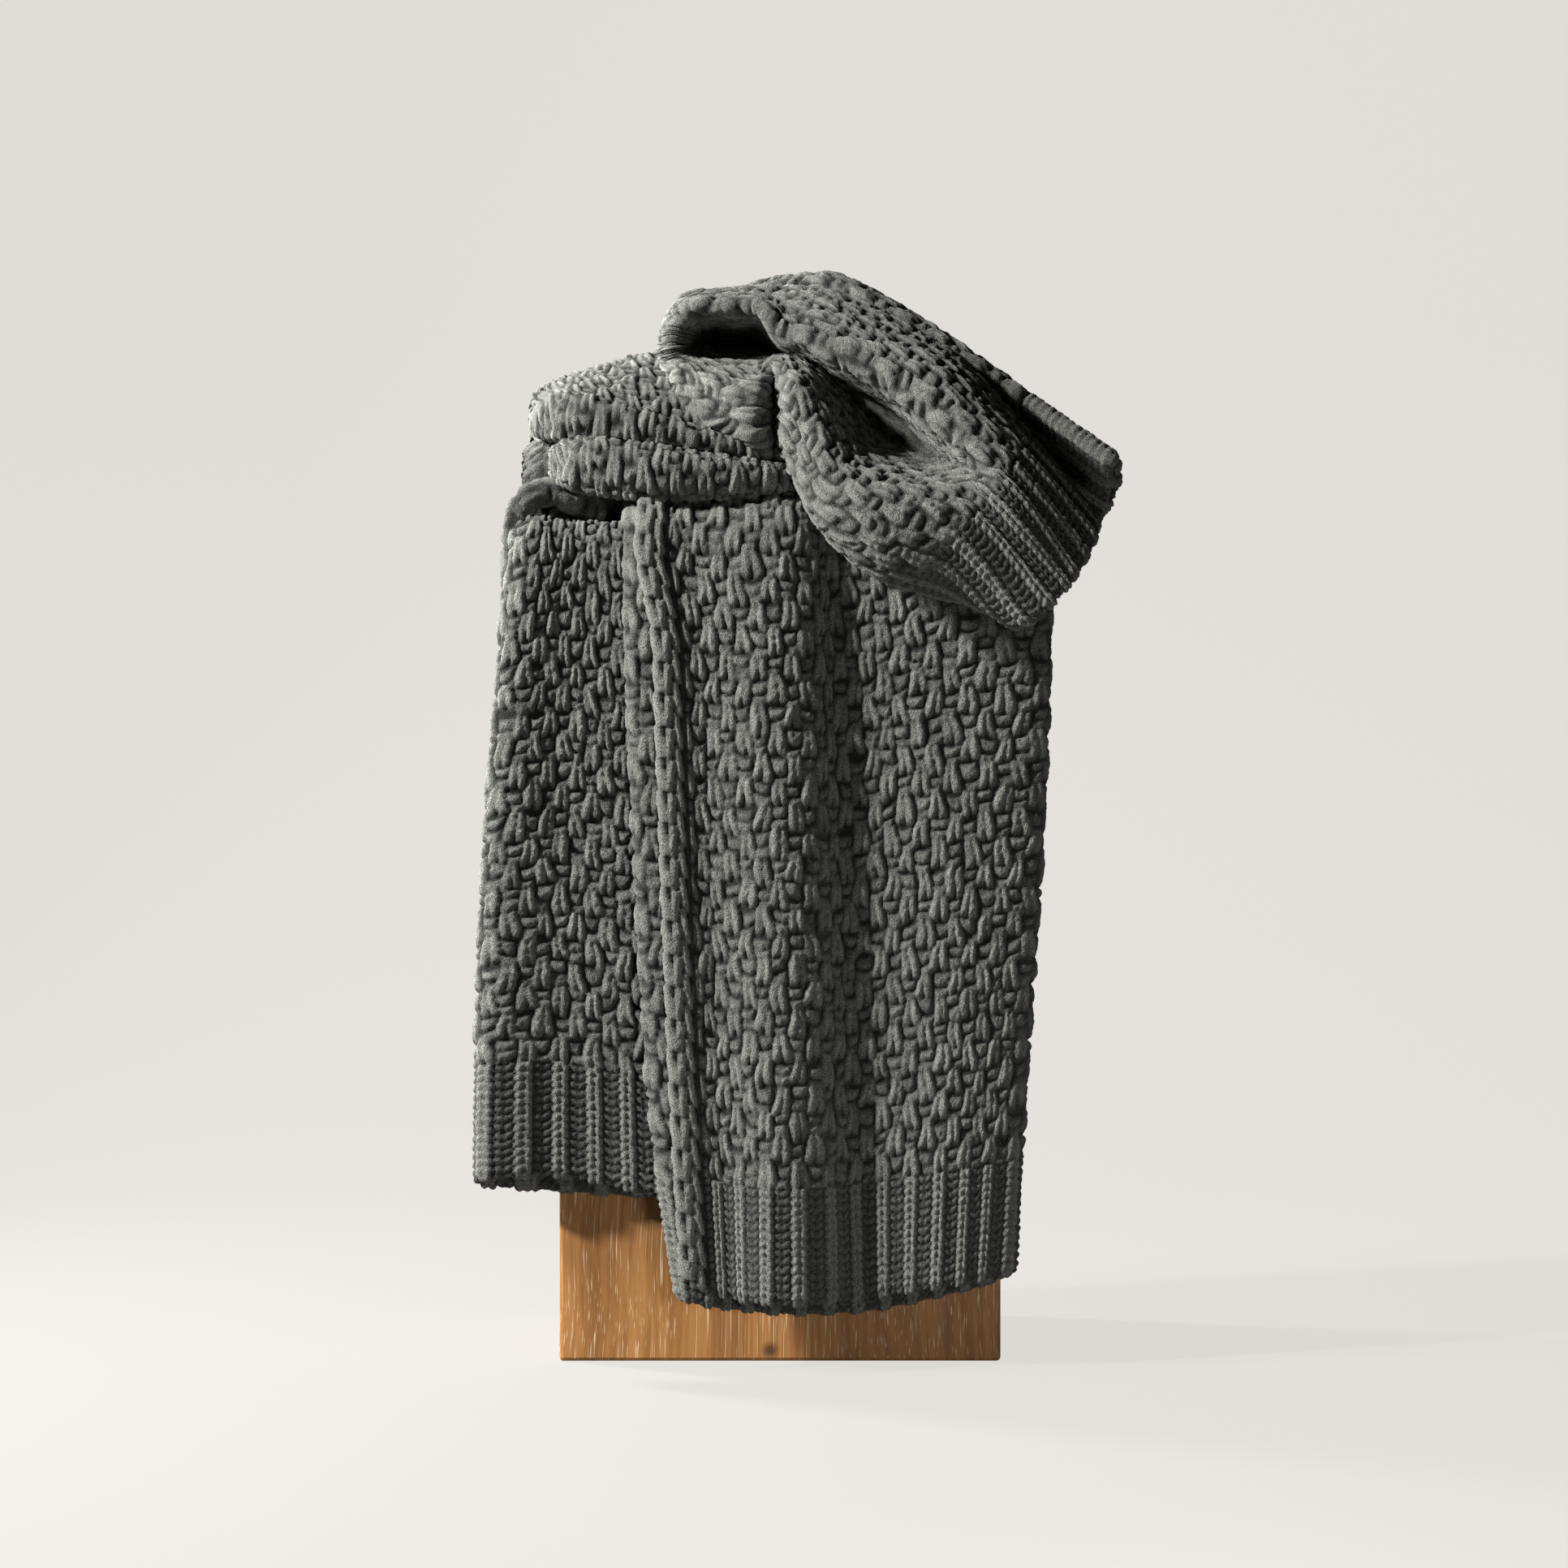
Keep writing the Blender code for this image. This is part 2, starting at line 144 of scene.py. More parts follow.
# %% Stitch sizes
STITCH = 8.4 * MM
ROW = 9.2 * MM
CELL_STITCHES = 2
CELL_ROWS = 3
RIB_REPEAT = 4
RIB_ROWS = 13
KNIT_HEIGHT = 6.4 * MM
BAR_HEIGHT = 5.0 * MM
RIB_HEIGHT = 6.2 * MM
RIB_BAR_HEIGHT = 3.4 * MM
CHAIN_HEIGHT = 6.4 * MM
CHAIN_STITCHES = 2.5
CHAIN_GROOVE = 3.1
CHAIN_BEAT = 0.26
CHAIN_SWAY = 0.60
GROOVE_SHARE = 0.4
RIB_SWAY = 0.34
WAVER_ACROSS = 0.34
WAVER_ALONG = 0.50
HALF_CLOTH = 4 * MM
PILE_HEIGHT = 1.3 * MM


def chance(i, j, salt):
    """A steady random number from 0 to 1 for each stitch cell."""
    mixed = np.sin(i * 127.1 + j * 311.7 + salt * 74.7) * 43758.5453
    return mixed - np.floor(mixed)


def spread(i, j, salt):
    """The same from -1 to 1."""
    return 2 * chance(i, j, salt) - 1


def waver(w, c, salt):
    """A slow wave over the cloth from about -1 to 1, as hand tension pulls rows about."""
    return (
        np.sin(0.61 * w + 0.43 * c + 1.3 * salt) + np.sin(1.13 * w - 0.71 * c + 2.9 * salt)
        + np.sin(0.37 * w + 1.31 * c + 4.1 * salt)
    ) / 3


def dome(distance, power=2.0):
    """Round hump: 1 at distance 0 and 0 from distance 1 on."""
    return np.sqrt(np.clip(1 - np.abs(distance) ** power, 0, None))


# %% Double moss stitch
def moss_height(w, c):
    """Height of double moss stitch at stitch number w and row number c."""
    w = w + WAVER_ACROSS * waver(w, c, 1)
    c = c + WAVER_ALONG * waver(w, c, 2)
    cell_w = np.floor(w / CELL_STITCHES)
    cell_c = np.floor(c / CELL_ROWS)
    height = np.zeros_like(w)
    for di in (-1, 0, 1):
        for dj in (-1, 0, 1):
            i, j = cell_w + di, cell_c + dj
            knit = (i + j) % 2 < 0.5
            x = w - (i + 0.5) * CELL_STITCHES - 0.16 * spread(i, j, 1)
            y = c / CELL_ROWS - j - 0.08 * spread(i, j, 2)
            x = x - 0.34 * spread(i, j, 4) * (y - 0.5)
            for side in (-1, 1):
                size = 0.88 + 0.16 * spread(i, j, 5 + side)
                rise = y - 0.07 * spread(i, j, 9 + side)
                foot = np.clip(1 - rise, 0, 1.2)
                ends = dome(2 * (rise + 0.08) / 1.18 - 1, 3)
                splay = 0.36 + 0.26 * foot**1.2 + 0.07 * spread(i, j, 13 + side)
                width = 0.44 + 0.18 * np.sin(math.pi * np.clip(0.85 * foot, 0, 1))
                strand = KNIT_HEIGHT * size * ends * dome((x - side * splay) / width, 2.3)
                height = np.where(knit, np.maximum(height, strand), height)
            for middle in (0.22, 0.72):
                size = 0.90 + 0.16 * spread(i, j, 17 + middle)
                lean = 0.25 * spread(i, j, 25 + middle)
                sag = middle - 0.12 * (1 - x**2) + 0.06 * spread(i, j, 21 + middle)
                bar = BAR_HEIGHT * size * dome((y - sag) / 0.23) * dome((x - lean) / 0.98, 2.4)
                height = np.where(knit, height, np.maximum(height, bar))
    return height


# %% Rib and selvage
def rib_height(w, c):
    """Height of two by two rib at stitch number w and row number c."""
    c = c + 0.15 * waver(w, c, 3)
    repeat = w % RIB_REPEAT
    height = np.zeros_like(w)
    for middle, shift in ((0.58, 0.0), (1.42, 0.08)):
        link = (c + shift) % 1 - 0.5
        sway = RIB_SWAY * link * (1 if middle < 1 else -1)
        size = 0.55 + 0.45 * dome(link / 0.56)
        height = np.maximum(height, RIB_HEIGHT * size * dome((repeat - middle - sway) / 0.56))
    for middle in (2.5, 3.45):
        lean = 0.45 * (repeat - middle) * (1 if middle < 3 else -1)
        bar = dome(((c + lean) % 1 - 0.5) / 0.46) * dome((repeat - middle) / 0.62)
        height = np.maximum(height, RIB_BAR_HEIGHT * bar)
    return height


def knit_height(w, c, edge=None):
    """Height of the yarn over the cloth: rib near the hem, moss above, a chain at the selvage."""
    height = np.where(c < RIB_ROWS, rib_height(w, c), moss_height(w, c - RIB_ROWS))
    if edge is not None:
        chain = np.zeros_like(w)
        for middle, shift, lean in ((0.55, 0.0, 1), (1.75, 0.5, -1)):
            link = (c * CHAIN_BEAT + shift) % 1 - 0.5
            sway = CHAIN_SWAY * link * lean
            size = 0.7 + 0.3 * dome(link / 0.55)
            strand = CHAIN_HEIGHT * size * dome((edge - middle - sway) / 0.68)
            chain = np.maximum(chain, strand)
        groove = (edge >= CHAIN_STITCHES) & (edge < CHAIN_GROOVE)
        height = np.where(edge < CHAIN_STITCHES, chain, height)
        height = np.where(groove, height * GROOVE_SHARE, height)
    return height


repeat_size = np.array([RIB_REPEAT * STITCH, 2 * CELL_ROWS * ROW])
print("one repeat is", np.round(repeat_size / MM, 1), "mm")

# %% [markdown]
# ## From a surface to a piece of knitting
#
# Each stretch of cloth is a grid on its smooth surface, pushed out along the normal by half
# the cloth's thickness and by the yarn's height. Where an edge of the cloth shows, the grid
# is carried on round it in a half circle and a little way up the other side, so the edge has
# the cloth's real thickness. The stitch numbers are distances along the cloth, which keeps
# every stitch the same size however the cloth bends.

# %% Building a piece of knitting
RIM_STEPS = 7
TURN_BACK = 9
EASE = 0.9


def normals_of(points):
    cross = np.cross(np.gradient(points, axis=1), np.gradient(points, axis=0))
    return cross / np.linalg.norm(cross, axis=2, keepdims=True)


def rim(points, normals, u, v, axis):
    """Carries the grid round its first edge along the axis and a little way up the back."""
    if axis == 1:
        turned = rim(*(a.swapaxes(0, 1) for a in (points, normals)), v.T, u.T, 0)
        p, n, v, u = turned
        return p.swapaxes(0, 1), n.swapaxes(0, 1), u.T, v.T
    outward = points[0] - points[1]
    outward /= np.linalg.norm(outward, axis=1, keepdims=True)
    angles = np.linspace(math.pi, 0, RIM_STEPS + 1)[:-1]
    step = np.abs(v[1] - v[0])
    back = slice(TURN_BACK, 0, -1)
    p = [points[back]] + [points[:1]] * RIM_STEPS + [points]
    n = [-normals[back]] + [(normals[0] * math.cos(a) + outward * math.sin(a))[None] for a in angles]
    reach = [v[0] - HALF_CLOTH * a for a in angles]
    far = [reach[0] - step * k for k in range(TURN_BACK, 0, -1)]
    return (
        np.concatenate(p), np.concatenate(n + [normals]),
        np.concatenate([np.repeat(u[:1], TURN_BACK + RIM_STEPS, axis=0), u]),
        np.concatenate([np.array(far + reach), v]),
    )


def grid_object(name, points, relief, flip, material):
    """A mesh object from a grid of points, with the yarn's relief kept for the material's painted
    shade and highlight.
    """
    rows, columns, _ = points.shape
    index = np.arange(rows * columns).reshape(rows, columns)
    quads = np.stack([index[:-1, :-1], index[:-1, 1:], index[1:, 1:], index[1:, :-1]], axis=2)
    quads = quads.reshape(-1, 4)
    if flip:
        quads = quads[:, ::-1]
    mesh = bpy.data.meshes.new(name)
    mesh.vertices.add(rows * columns)
    mesh.vertices.foreach_set("co", points.astype(np.float32).ravel())
    mesh.loops.add(quads.size)
    mesh.loops.foreach_set("vertex_index", quads.astype(np.int32).ravel())
    mesh.polygons.add(len(quads))
    mesh.polygons.foreach_set("loop_start", np.arange(0, quads.size, 4, dtype=np.int32))
    mesh.update(calc_edges=True)
    mesh.shade_smooth()
    mesh.attributes.new("relief", "FLOAT", "POINT").data.foreach_set(
        "value", relief.astype(np.float32).ravel()
    )
    mesh.materials.append(material)
    obj = bpy.data.objects.new(name, mesh)
    bpy.context.scene.collection.objects.link(obj)
    return obj


pieces = []


def knitted(name, net, rows, columns, facing, step=(1.8, 2.4), rims=(), reference=None,
            selvage=None, first=(0.0, 0.0), scale=1.0, parts=1, material=None):
    """A stretch of the blanket between row and column numbers of a net.

    Rows follow the knitted rows up from the hem, and columns follow the stitches across.
    facing is a rough direction that the side with stitches looks in. reference lists pairs:
    the column from which it holds, and the column that the stitches are counted from there.
    A fine stretch is cut across into parts that share their last and first row.
    """
    row_at = even(net, 0, rows[0], rows[1], step[1] * MM)
    column_at = even(net, 1, columns[0], columns[1], step[0] * MM)
    points = surface(net, row_at, column_at)
    normals = normals_of(points)
    toward = np.sign((normals @ np.array(facing, float)).mean())
    normals = normals * toward
    u, v = arc(points, 1), arc(points, 0)
    outer = points + normals * HALF_CLOTH
    flat = (float(arc(outer, 1)[:, -1].mean()), float(arc(outer, 0)[-1].mean()))
    mean_u = np.broadcast_to(u.mean(axis=0), u.shape)
    if reference is None:
        u = mean_u
    else:
        centred = u
        for since, middle in reference:
            nearest = np.abs(column_at - middle).argmin()
            centred = np.where(column_at >= since, u - u[:, nearest:nearest + 1], centred)
        u = EASE * centred + (1 - EASE) * mean_u
    edge = None
    for side in rims:
        if side == "start_row":
            points, normals, u, v = rim(points, normals, u, v, 0)
            flat = (flat[0], flat[1] + TURN_BACK * step[1] * MM + math.pi * HALF_CLOTH)
        if side == "start_column":
            points, normals, u, v = rim(points, normals, u, v, 1)
            flat = (flat[0] + TURN_BACK * step[0] * MM + math.pi * HALF_CLOTH, flat[1])
    w, c = u / STITCH + first[0], v / ROW + first[1]
    if selvage is not None:
        edge = np.abs(u - selvage) / STITCH
    relief = knit_height(w, c, edge) * scale
    pile = np.random.default_rng(len(pieces)).uniform(-1, 1, relief.shape)
    pile = (pile + np.roll(pile, 1, 0) + np.roll(pile, 1, 1) + np.roll(pile, (1, 1), (0, 1))) / 4
    relief = relief + PILE_HEIGHT * pile * (relief > BAR_HEIGHT / 3)
    shape = points + normals * (HALF_CLOTH + relief)[:, :, None]
    cuts = np.linspace(0, len(shape) - 1, parts + 1).astype(int)
    for number, (low, high) in enumerate(zip(cuts, cuts[1:])):
        label = name if parts == 1 else f"{name}_{number + 1}"
        part = slice(low, high + 1)
        obj = grid_object(label, shape[part], relief[part] / KNIT_HEIGHT, toward < 0, material)
        size = (flat[0], flat[1] * (high - low) / (len(shape) - 1))
        pieces.append((obj, size))
        area = sum(face.area for face in obj.data.polygons)
        print(label, 2 * len(obj.data.polygons), "triangles, flat", np.round(size, 3), end=" ")
        print("m, its relief takes", round(area / (size[0] * size[1]), 2), "times that")


# %% [markdown]
# ## The hanging layers
#
# The long blanket is folded back and forth like a map, so the bundle is one section drawn
# seen from above, hung from the top edge and swept down to the hem. Each row of the table is
# a turn of that section. Its x is read at five heights, because the folds open towards the
# foot, and `out` keeps the layers apart so that none passes through another.

# %% The folded section
FOLD_HEIGHTS = (640, 760, 1050, 1350, 1600)
FOLDS = (
    ("front_selvage", (778, 810, 822, 834, 849), 66, 84, 1576),
    ("front_left",    (840, 862, 872, 884, 896), 56, 75, 1592),
    ("front_crest",   (925, 938, 945, 948, 950), 62, 100, 1601),
    ("front_step",    (985, 990, 996, 1000, 1004), 56, 92, 1600),
    ("front_valley",  (1018, 1030, 1042, 1050, 1056), 32, 62, 1594),
    ("front_rise",    (1140, 1150, 1160, 1162, 1155), 40, 72, 1580),
    ("right_front",   (1262, 1266, 1256, 1238, 1222), 42, 62, 1567),
    ("right_fold",    (1288, 1288, 1277, 1257, 1244), 28, 46, 1562),
    ("right_back",    (1262, 1262, 1250, 1232, 1196), 15, 30, 1580),
    ("back_middle",   (1080, 1090, 1095, 1090, 1080), 13, 17, 1606),
    ("back_left",     (950, 960, 968, 974, 976), 17, 25, 1612),
    ("behind_ridge",  (850, 868, 878, 888, 900), 46, 58, 1606),
    ("strip_front",   (800, 796, 804, 826, 860), 56, 74, 1600),
    ("strip_fold",    (775, 776, 788, 806, 842), 49, 65, 1590),
    ("strip_back",    (796, 792, 806, 826, 862), 42, 56, 1575),
    ("tuck_front",    (820, 840, 852, 866, 884), 41, 52, 1535),
    ("tuck_fold",     (832, 852, 864, 878, 896), 34, 43, 1510),
    ("tuck_back",     (820, 838, 850, 862, 872), 27, 34, 1490),
    ("left_right",    (776, 780, 790, 796, 805), 24, 29, 1466),
    ("left_middle",   (705, 700, 695, 695, 695), 25, 32, 1443),
    ("left_front",    (660, 645, 625, 612, 612), 30, 45, 1446),
    ("left_fold",     (642, 624, 602, 592, 592), 20, 28, 1450),
    ("left_back",     (664, 648, 628, 616, 616), 12, 15, 1456),
    ("back_selvage",  (780, 790, 800, 805, 812), 12, 15, 1468),
)
FOLD = {row[0]: number for number, row in enumerate(FOLDS)}
RIB_BAND = 118 * MM
BEND_INSET = 12 * MM
RUN_BACK = 70 * MM
PANEL_ROWS = 8
BEND_ROWS = 3


def hanging_net():
    """Rows from the hem up the front and over the top edge, one column for each turn."""
    heights = np.array(FOLD_HEIGHTS, float)
    x = np.array([row[1] for row in FOLDS], float).T
    top, foot, hem_y = np.array([row[2:] for row in FOLDS], float).T
    fall = ((heights - heights[0]) / (heights[-1] - heights[0])) ** 0.5
    out = top + (foot - top) * fall[:, None]
    top_z = TOP_Z - BEND_INSET
    rows = []
    for share in (0, 0.5, *np.linspace(1, 1 + PANEL_ROWS, PANEL_ROWS + 1)):
        row = []
        for j in range(len(FOLDS)):
            hem_z = place(0, hem_y[j], out[-1, j])[2]
            start = hem_z + RIB_BAND
            z = hem_z + RIB_BAND * share
            if share > 1:
                z = start + (top_z - start) * (share - 1) / PANEL_ROWS
            y = VIEW_FLOOR - z / VIEW_SCALE
            level = [np.interp(y, heights, np.arange(len(heights)))]
            point = place(curve_through(x[:, j], level)[0], y, curve_through(out[:, j], level)[0])
            row.append((point[0], point[1], z))
        rows.append(row)
    top_row = np.array(rows[-1])
    radius = FACE_Y + BEND_INSET - top_row[:, 1]
    for angle in np.linspace(0, math.pi / 2, BEND_ROWS + 1)[1:]:
        rows.append(np.stack([
            top_row[:, 0],
            FACE_Y + BEND_INSET - radius * math.cos(angle),
            top_z + radius * math.sin(angle),
        ], axis=1))
    rows.append(rows[-1] + np.array([0, RUN_BACK, 0]))
    return np.array(rows)


hanging = hanging_net()
OVER_TOP = 2 + PANEL_ROWS + BEND_ROWS
print("hanging layers", hanging.shape, "lowest", round(hanging[:, :, 2].min(), 3), "m")

# %% [markdown]
# ## Yarn
#
# The yarn is a thick brushed chenille in charcoal grey with a trace of green. Its colour
# comes from three things: a painted highlight lightens the top of each strand, painted shade
# makes the gaps between strands almost black, and the dye varies a little along the yarn. The
# height that shaped the mesh is kept on its points, so the same number paints the shade in the
# gaps and the highlight on the tops. Fine noise gives the pile, and sheen gives its soft bright
# edge.

# %% Shader helpers
def group(name, inputs, outputs):
    """A new shader node group with float inputs and typed outputs."""
    made = bpy.data.node_groups.new(name, "ShaderNodeTree")
    for socket in inputs:
        made.interface.new_socket(socket, in_out="INPUT", socket_type="NodeSocketFloat")
    for socket, kind in outputs:
        made.interface.new_socket(socket, in_out="OUTPUT", socket_type="NodeSocket" + kind)
    return made, made.nodes.new("NodeGroupInput"), made.nodes.new("NodeGroupOutput")


def node(tree, kind, **values):
    """A node with its properties set by name, and its inputs by in_NAME."""
    made = tree.nodes.new("ShaderNode" + kind)
    for key, value in values.items():
        if key.startswith("in_"):
            made.inputs[key[3:].replace("_", " ")].default_value = value
        else:
            setattr(made, key, value)
    return made


def ramp(tree, factor, stops):
    """A colour ramp through (place, colour) stops."""
    made = tree.nodes.new("ShaderNodeValToRGB")
    elements = made.color_ramp.elements
    while len(elements) < len(stops):
        elements.new(0.5)
    for element, (at, colour) in zip(elements, stops):
        element.position = at
        element.color = (*colour, 1)
    tree.links.new(factor, made.inputs["Fac"])
    return made.outputs["Color"]


def mix(tree, kind, factor, a, b):
    """Two colours mixed."""
    made = tree.nodes.new("ShaderNodeMix")
    made.data_type = "RGBA"
    made.blend_type = kind
    for socket, value in ((made.inputs[0], factor), (made.inputs[6], a), (made.inputs[7], b)):
        if isinstance(value, bpy.types.NodeSocket):
            tree.links.new(value, socket)
        else:
            socket.default_value = value
    return made.outputs[2]


# %% Yarn material
# The first colour is painted shade in the gaps between strands, the second the yarn's own colour,
# the third a painted highlight on the strand tops.
PAINTED_GAP_SHADE = (0.010, 0.011, 0.010)
STRAND_COLOUR = (0.150, 0.154, 0.146)
PAINTED_TIP_HIGHLIGHT = (0.262, 0.268, 0.254)
FLECK_DARK = (0.38, 0.39, 0.38)
FLECK_BRIGHT = (1.60, 1.60, 1.57)
CLUMP_SHARE = 0.25


def yarn_group():
    tree, entry, leave = group("yarn look", ["Relief"], [("Color", "Color"), ("Height", "Float")])
    where = node(tree, "TexCoord")
    dye = node(tree, "TexNoise", in_Scale=38, in_Detail=3, in_Roughness=0.6)
    pile = node(tree, "TexNoise", in_Scale=720, in_Detail=2, in_Roughness=0.6)
    clump = node(tree, "TexNoise", in_Scale=260, in_Detail=2, in_Roughness=0.5)
    for noise in (dye, pile, clump):
        tree.links.new(where.outputs["Object"], noise.inputs["Vector"])
    # Painted light over the relief: painted shade makes the gaps nearly black and the low sides of
    # each strand darker, and a painted highlight lightens the strand tops.
    body = ramp(tree, entry.outputs["Relief"], [
        (0.10, PAINTED_GAP_SHADE), (0.36, tuple(c * 0.36 for c in STRAND_COLOUR)),
        (0.58, tuple(c * 0.88 for c in STRAND_COLOUR)), (1.0, PAINTED_TIP_HIGHLIGHT),
    ])
    dyed = ramp(tree, dye.outputs["Fac"], [(0.3, (0.86, 0.87, 0.86)), (0.7, (1.0, 1.0, 0.98))])
    varied = mix(tree, "MULTIPLY", 1.0, body, dyed)
    flecks = ramp(tree, pile.outputs["Fac"], [(0.36, FLECK_DARK), (0.63, FLECK_BRIGHT)])
    tree.links.new(mix(tree, "MULTIPLY", 1.0, varied, flecks), leave.inputs["Color"])
    height = node(tree, "Math", operation="MULTIPLY_ADD")
    height.inputs[1].default_value = CLUMP_SHARE
    tree.links.new(clump.outputs["Fac"], height.inputs[0])
    tree.links.new(pile.outputs["Fac"], height.inputs[2])
    tree.links.new(height.outputs[0], leave.inputs["Height"])
    return tree


def place_group(tree, made):
    holder = tree.nodes.new("ShaderNodeGroup")
    holder.node_tree = made
    return holder


def yarn_material():
    material = bpy.data.materials.new("charcoal chenille")
    material.use_nodes = True
    tree = material.node_tree
    shader = tree.nodes["Principled BSDF"]
    shader.inputs["Roughness"].default_value = 0.95
    shader.inputs["Specular IOR Level"].default_value = 0.12
    shader.inputs["Sheen Weight"].default_value = 0.35
    shader.inputs["Sheen Roughness"].default_value = 0.45
    shader.inputs["Sheen Tint"].default_value = (0.8, 0.82, 0.78, 1)
    holder = place_group(tree, yarn_group())
    relief = node(tree, "Attribute", attribute_name="relief")
    tree.links.new(relief.outputs["Fac"], holder.inputs["Relief"])
    tree.links.new(holder.outputs["Color"], shader.inputs["Base Color"])
    bump = node(tree, "Bump", in_Strength=1.0, in_Distance=0.004)
    tree.links.new(holder.outputs["Height"], bump.inputs["Height"])
    tree.links.new(bump.outputs["Normal"], shader.inputs["Normal"])
    return material


YARN = yarn_material()

# %% [markdown]
# ## The front panel
#
# The widest stretch hangs in front of all others. Its left edge is the chained selvage and its
# foot is the ribbed hem, so the grid is carried round both. It is the finest grid of all and
# is cut across into an upper and a lower part, which keeps each of them light enough.

# %% Front panel
knitted(
    "front_panel", hanging, (0, OVER_TOP), (FOLD["front_selvage"], FOLD["right_back"]),
    (0, -1, 0), step=(1.6, 2.2), rims=("start_row", "start_column"), selvage=0, parts=2,
    material=YARN,
)

# %% [markdown]
# ## The layers behind
#
# Left of the front panel two more stretches of the same cloth show: a narrow strip that turns
# back on itself, and the wide left panel, whose hem hangs higher because that stretch was
# pulled further over the top. The blanket turns over at each fold, so these show its other
# side. The rest of the section is only seen from the side or below.

# %% Strip and left panel
knitted(
    "turned_strip", hanging, (0, OVER_TOP), (FOLD["behind_ridge"], FOLD["strip_back"] + 0.6),
    (-0.3, -1, 0), step=(1.6, 2.2), rims=("start_row",), material=YARN,
)
knitted(
    "left_panel", hanging, (0, OVER_TOP), (FOLD["tuck_back"], FOLD["left_back"] + 0.3),
    (0, -1, 0), step=(1.7, 2.3), rims=("start_row",), material=YARN,
)
knitted(
    "left_under", hanging, (0, OVER_TOP), (FOLD["left_back"] + 0.2, FOLD["back_selvage"]),
    (0, 1, 0), step=(4, 5), rims=("start_row",), material=YARN,
)
knitted(
    "back_layer", hanging, (0, 3), (FOLD["right_back"], FOLD["behind_ridge"]),
    (0, -1, 0), step=(2.2, 3), rims=("start_row",), material=YARN,
)

# %% [markdown]
# ## Rolls on the top
#
# Above the left half the cloth comes back over the top in two soft rolls, one on the other.
# Each roll is a fold that faces forward, and the upper one goes on up to the ridge and down
# behind it. The stitches of a roll run round it, so its rows are counted along the profile.

# %% Rolls
ROLL_A = (
    (684, 580, 556, -12), (692, 596, 544, 20), (720, 606, 537, 46), (800, 614, 547, 64),
    (880, 614, 560, 64), (940, 607, 570, 54), (985, 600, 576, 30),
)
ROLL_B = (
    (662, 526, 510, -70, 504, -100), (668, 540, 496, -14, 488, -160),
    (704, 541, 484, 30, 470, -230), (800, 550, 506, 46, 442, -250),
    (900, 567, 538, 42, 432, -250), (950, 574, 548, 30, 436, -250),
    (1010, 578, 552, 0, 446, -250),
)
ROLL_TAIL = -80
ROLL_MIDDLE = 3
RIDGE_SHARE = 0.55
RIDGE_DROP = 32
NEAR_TOP_Y = 670
CLOTH_THICK = 12 * MM
ARC_STEPS = 7


def forward_fold(low_y, high_y, front, tail):
    """Side profile of a fold that faces forward, as (out, y) pairs, from below to above."""
    half = CLOTH_THICK / 2 / VIEW_SCALE
    radius = (low_y - high_y) / 2 - half
    centre = (high_y + low_y) / 2
    depth = radius * VIEW_SCALE / MM
    start = front - depth - half
    profile = [(tail, centre + radius)]
    for angle in np.linspace(-math.pi / 2, math.pi / 2, ARC_STEPS):
        profile.append((start + depth * math.cos(angle), centre - radius * math.sin(angle)))
    return profile


lower, upper = [], []
for x, low_y, high_y, front in ROLL_A:
    profile = forward_fold(low_y, high_y, front, ROLL_TAIL)
    profile.append((ROLL_TAIL, profile[-1][1]))
    lower.append([place(x, y, out) for out, y in profile])
for x, low_y, crest_y, front, ridge_y, back in ROLL_B:
    profile = forward_fold(low_y, crest_y, front, max(ROLL_TAIL, back + 30))
    crest_out, crest_y = profile[-1]
    ridge_out = back * RIDGE_SHARE
    profile.append((crest_out * 0.6 + ridge_out * 0.4, crest_y * 0.45 + ridge_y * 0.55))
    profile.append((ridge_out, ridge_y))
    profile.append((back * 0.6 + ridge_out * 0.4, ridge_y + RIDGE_DROP))
    profile.append((back, (ridge_y + NEAR_TOP_Y) / 2))
    profile.append((back, ON_TOP))
    upper.append([place(x, y, out) for out, y in profile])
lower = np.array(lower).swapaxes(0, 1)
upper = np.array(upper).swapaxes(0, 1)

knitted(
    "lower_roll", lower, (0, len(lower) - 1), (0, len(ROLL_A) - 1), (0, -1, 0.2),
    step=(1.6, 2.2), reference=((0, ROLL_MIDDLE),), first=(0, RIB_ROWS + 4), material=YARN,
)
knitted(
    "upper_roll", upper, (0, len(upper) - 1), (0, len(ROLL_B) - 1), (0, -1, 1),
    step=(1.9, 2.5), reference=((0, ROLL_MIDDLE),), first=(1, RIB_ROWS + 7), material=YARN,
)

# %% [markdown]
# ## The ridge and the open sleeve
#
# Right of the rolls the far end of the blanket starts as a leg that joins a ridge above and a
# mound below, with a hollow beside it. It widens into a lobe that flops over the edge and ends
# in an open sleeve with its ribbed hem. A table of sections from the leg to the hem, each
# going once round the cloth, is the shortest way to write down a form that changes this much.

